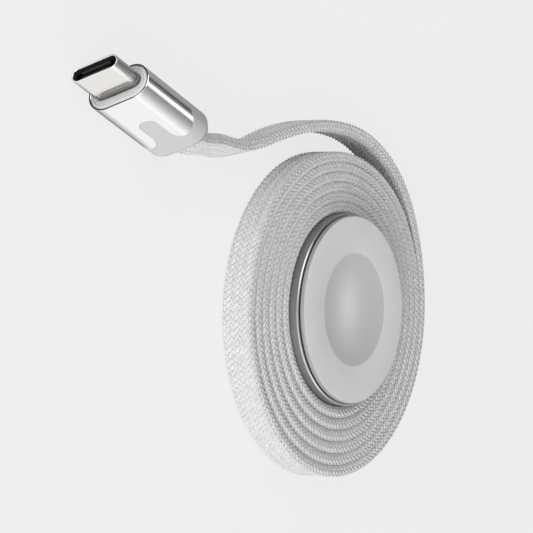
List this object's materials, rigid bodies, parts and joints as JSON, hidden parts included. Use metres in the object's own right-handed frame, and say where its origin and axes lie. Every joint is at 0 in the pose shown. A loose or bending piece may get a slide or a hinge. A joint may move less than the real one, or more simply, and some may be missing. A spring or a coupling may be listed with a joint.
{
  "type": "smartwatch charging cable",
  "caption": "Flat woven charging cable wound in a spiral round a dished inductive charging disc, with a free end that runs to a reversible oval plug in a metal sleeve.",
  "frame": {"origin": "centre of the charging disc's base, on the surface that it lies on", "axes": "+Z along the disc's axis, out of its charging face; +X towards the side where the cable leaves its coil; the plug lies towards -X and +Y"},
  "size_m": [0.0977, 0.0687, 0.0106],
  "materials": {
    "wall_metal": "turned and satin anodised, polished edge",
    "face_plastic": "fine satin moulding",
    "base_plastic": "fine satin moulding",
    "seal_rubber": "black silicone",
    "board_laminate": "solder mask",
    "chip_black": "moulded epoxy",
    "ferrite": "sintered ferrite",
    "copper_wire": "enamelled copper strands",
    "magnet_nickel": "nickel plated",
    "yoke_steel": "zinc plated",
    "grommet_rubber": "light grey moulding",
    "woven_braid": "light grey woven nylon",
    "cap_plastic": "light grey satin moulding",
    "sleeve_metal": "polished",
    "plate_plastic": "light grey satin moulding",
    "shell_nickel": "nickel plated",
    "carrier_black": "black moulding",
    "contact_gold": "gold plated"
  },
  "bodies": {
    "root": {"base_cover": "base_plastic", "housing_wall": "wall_metal", "circuit_board": "board_laminate", "board_components": "chip_black", "ferrite_shield": "ferrite", "charging_winding": "copper_wire", "magnet_yoke": "yoke_steel", "alignment_magnet": "magnet_nickel", "charging_face": "face_plastic", "face_seal": "seal_rubber", "cable_grommet": "grommet_rubber", "cable_coil": "woven_braid", "cable_tail": "woven_braid", "end_cap": "cap_plastic", "metal_sleeve": "sleeve_metal", "front_plate": "plate_plastic", "plug_shell": "shell_nickel", "contact_carrier": "carrier_black", "upper_contacts": "contact_gold", "lower_contacts": "contact_gold", "side_latches": "yoke_steel", "shield_springs": "shell_nickel", "plug_board": "board_laminate", "cable_clamp": "yoke_steel"}
  },
  "joints": []
}
